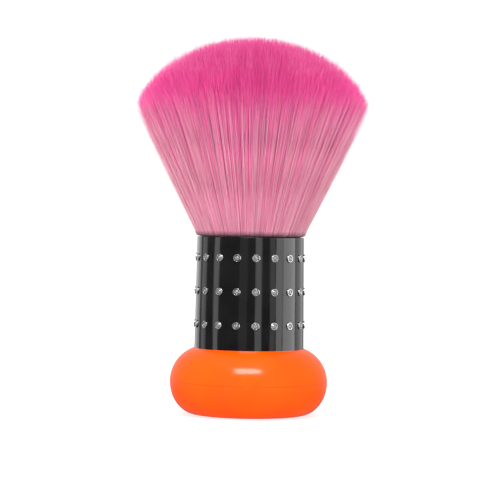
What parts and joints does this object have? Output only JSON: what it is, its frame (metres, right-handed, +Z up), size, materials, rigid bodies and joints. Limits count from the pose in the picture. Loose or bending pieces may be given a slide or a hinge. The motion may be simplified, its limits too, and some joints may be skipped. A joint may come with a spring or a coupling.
{
  "type": "neck duster brush",
  "caption": "Standing neck duster brush: flared tuft of soft fibres in a round glossy handle ringed with small set stones, on a weighted rounded foot.",
  "frame": {"origin": "centre of the foot pad's underside, on the surface the brush stands on", "axes": "+Z up along the brush's axis, -Y out of its front, +X to the right as seen from the front"},
  "size_m": [0.0678, 0.0678, 0.1126],
  "materials": {
    "fibre": "satin",
    "thread": "matte",
    "resin": "gloss",
    "cup": "satin",
    "black_gloss": "gloss",
    "core": "matte",
    "silver_rim": "polished",
    "crystal": "polished",
    "orange_gloss": "gloss",
    "weight_steel": "satin",
    "screw_steel": "satin",
    "foam_pad": "matte"
  },
  "bodies": {
    "root": {"bristle_tuft": "fibre", "root_binding": "thread", "root_resin": "resin", "tuft_cup": "cup", "handle_tube": "black_gloss", "handle_core": "core", "settings_lower": "silver_rim", "settings_middle": "silver_rim", "settings_upper": "silver_rim", "crystals_lower": "crystal", "crystals_middle": "crystal", "crystals_upper": "crystal", "base_upper": "orange_gloss", "base_lower": "orange_gloss", "base_weight": "weight_steel", "core_screw": "screw_steel", "screw_washer": "screw_steel", "foot_pad": "foam_pad"}
  },
  "joints": []
}
